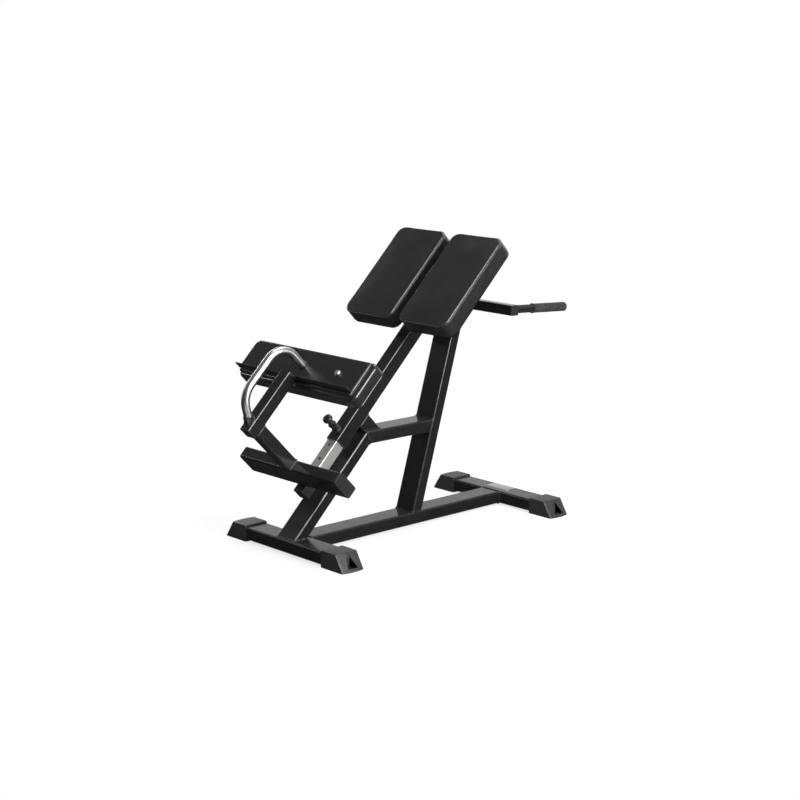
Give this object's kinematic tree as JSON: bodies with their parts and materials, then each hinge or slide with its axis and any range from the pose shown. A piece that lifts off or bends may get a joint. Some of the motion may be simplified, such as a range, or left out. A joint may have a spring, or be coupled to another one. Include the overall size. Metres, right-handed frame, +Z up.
{
  "type": "hyperextension bench",
  "caption": "Sloping back extension bench with split hip pads, a sliding foot and calf carriage held by a spring pin, a bent handle and two rear grips.",
  "frame": {"origin": "on the floor, under the middle of the bounding box, level with the boots' undersides", "axes": "+Z up, +X across the bench to the right of a user who faces the hip pads, +Y from the foot end to the hand grips"},
  "size_m": [0.678, 1.4252, 1.142],
  "materials": {
    "powder_coat": "satin",
    "silver_tube": "satin",
    "polished_steel": "polished",
    "black_plastic": "matte",
    "grip_rubber": "matte",
    "grip_end": "matte",
    "pad_vinyl": "satin",
    "plywood": "matte",
    "zinc": "satin"
  },
  "bodies": {
    "frame": {"front_cross_tube": "powder_coat", "rear_cross_tube": "powder_coat", "base_tube": "powder_coat", "front_post": "powder_coat", "brace": "powder_coat", "rear_post": "powder_coat", "sleeve": "powder_coat", "sleeve_stub": "powder_coat", "pad_channel_lower": "powder_coat", "pad_channel_upper": "powder_coat", "grip_stay_left": "powder_coat", "grip_stay_right": "powder_coat", "grip_tube_left": "powder_coat", "grip_tube_right": "powder_coat", "front_left_boot": "black_plastic", "front_right_boot": "black_plastic", "rear_left_boot": "black_plastic", "rear_right_boot": "black_plastic", "sleeve_bush": "black_plastic", "sleeve_cap": "black_plastic", "pin_nut": "black_plastic", "pin_barrel": "black_plastic", "stay_cap_left": "black_plastic", "stay_cap_right": "black_plastic", "grip_rubber_left": "grip_rubber", "grip_rubber_right": "grip_rubber", "grip_end_left": "grip_end", "grip_end_right": "grip_end", "hip_pad_left": "pad_vinyl", "hip_pad_right": "pad_vinyl", "hip_board_left": "plywood", "hip_board_right": "plywood"},
    "carriage": {"inner_tube": "silver_tube", "inner_tube_cap": "black_plastic", "foot_plate": "powder_coat", "foot_plate_cap_left": "black_plastic", "foot_plate_cap_right": "black_plastic", "foot_plate_pad": "powder_coat", "carriage_arm": "powder_coat", "calf_upright": "powder_coat", "upright_cap": "black_plastic", "calf_bracket": "powder_coat", "calf_board": "pad_vinyl", "calf_cushion": "pad_vinyl", "calf_bolt_left": "zinc", "calf_bolt_right": "zinc", "loop_handle": "polished_steel", "loop_collar": "powder_coat"},
    "pin": {"lock_pin": "zinc", "pull_knob": "black_plastic"}
  },
  "joints": [
    {"name": "carriage_slide", "type": "slide", "parent": "frame", "child": "carriage", "axis": [0, 0.7071, 0.7071], "range_m": [-0.13, 0.13]},
    {"name": "pin_pull", "type": "slide", "parent": "frame", "child": "pin", "axis": [0, -0.7071, 0.7071], "range_m": [0, 0.012], "stiffness_N_per_m": 800, "springref_m": -0.012}
  ]
}
